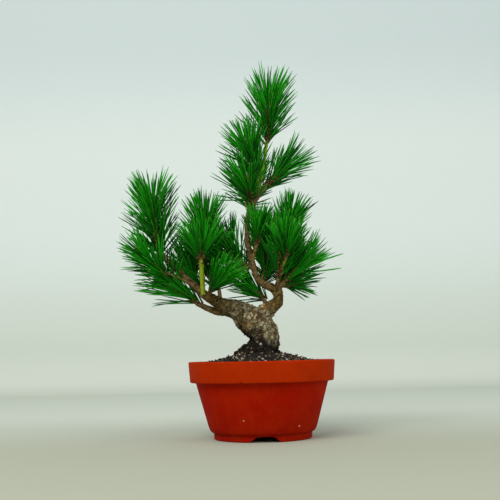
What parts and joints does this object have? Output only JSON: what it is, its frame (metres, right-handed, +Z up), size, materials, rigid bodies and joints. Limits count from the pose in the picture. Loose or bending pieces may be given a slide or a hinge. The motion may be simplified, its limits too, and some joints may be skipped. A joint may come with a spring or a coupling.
{
  "type": "bonsai pine in a pot",
  "caption": "Young black pine trained as a bonsai: thick twisted trunk, two limbs and tufts of long paired needles, growing in soil in a round unglazed clay pot with a thick rim.",
  "frame": {"origin": "bottom centre of the overall box, on the plane that the pot's foot stands on; the pot's own axis is about 32 mm towards +X of it, because the tree leans out to -X", "axes": "+X to the right as the front of the tree is seen, +Y away from the front, +Z up"},
  "size_m": [0.2284, 0.15, 0.3918],
  "materials": {
    "pot": "satin",
    "net": "matte",
    "wire": "satin",
    "soil": "matte",
    "bark": "matte",
    "shoot": "satin",
    "needles": "satin"
  },
  "bodies": {
    "root": {"pot": "pot", "drainage_net": "net", "net_wire": "wire", "soil": "soil", "trunk": "bark", "shoot_apex": "shoot", "shoot_crown_left": "shoot", "shoot_crown_front": "shoot", "shoot_crown_right": "shoot", "shoot_crown_back": "shoot", "shoot_left_top": "shoot", "shoot_left_centre_front": "shoot", "shoot_left_centre_back": "shoot", "shoot_left_low_front": "shoot", "shoot_left_trailing": "shoot", "shoot_left_back": "shoot", "shoot_limb_front": "shoot", "shoot_middle_left": "shoot", "shoot_middle_front": "shoot", "shoot_middle_back": "shoot", "shoot_heart": "shoot", "shoot_right_upper": "shoot", "shoot_right_front": "shoot", "shoot_right_outer": "shoot", "shoot_right_low": "shoot", "shoot_right_back": "shoot", "needles_apex": "needles", "needles_crown_left": "needles", "needles_crown_front": "needles", "needles_crown_right": "needles", "needles_crown_back": "needles", "needles_left_top": "needles", "needles_left_centre_front": "needles", "needles_left_centre_back": "needles", "needles_left_low_front": "needles", "needles_left_trailing": "needles", "needles_left_back": "needles", "needles_limb_front": "needles", "needles_middle_left": "needles", "needles_middle_front": "needles", "needles_middle_back": "needles", "needles_heart": "needles", "needles_right_upper": "needles", "needles_right_front": "needles", "needles_right_outer": "needles", "needles_right_low": "needles", "needles_right_back": "needles"}
  },
  "joints": []
}
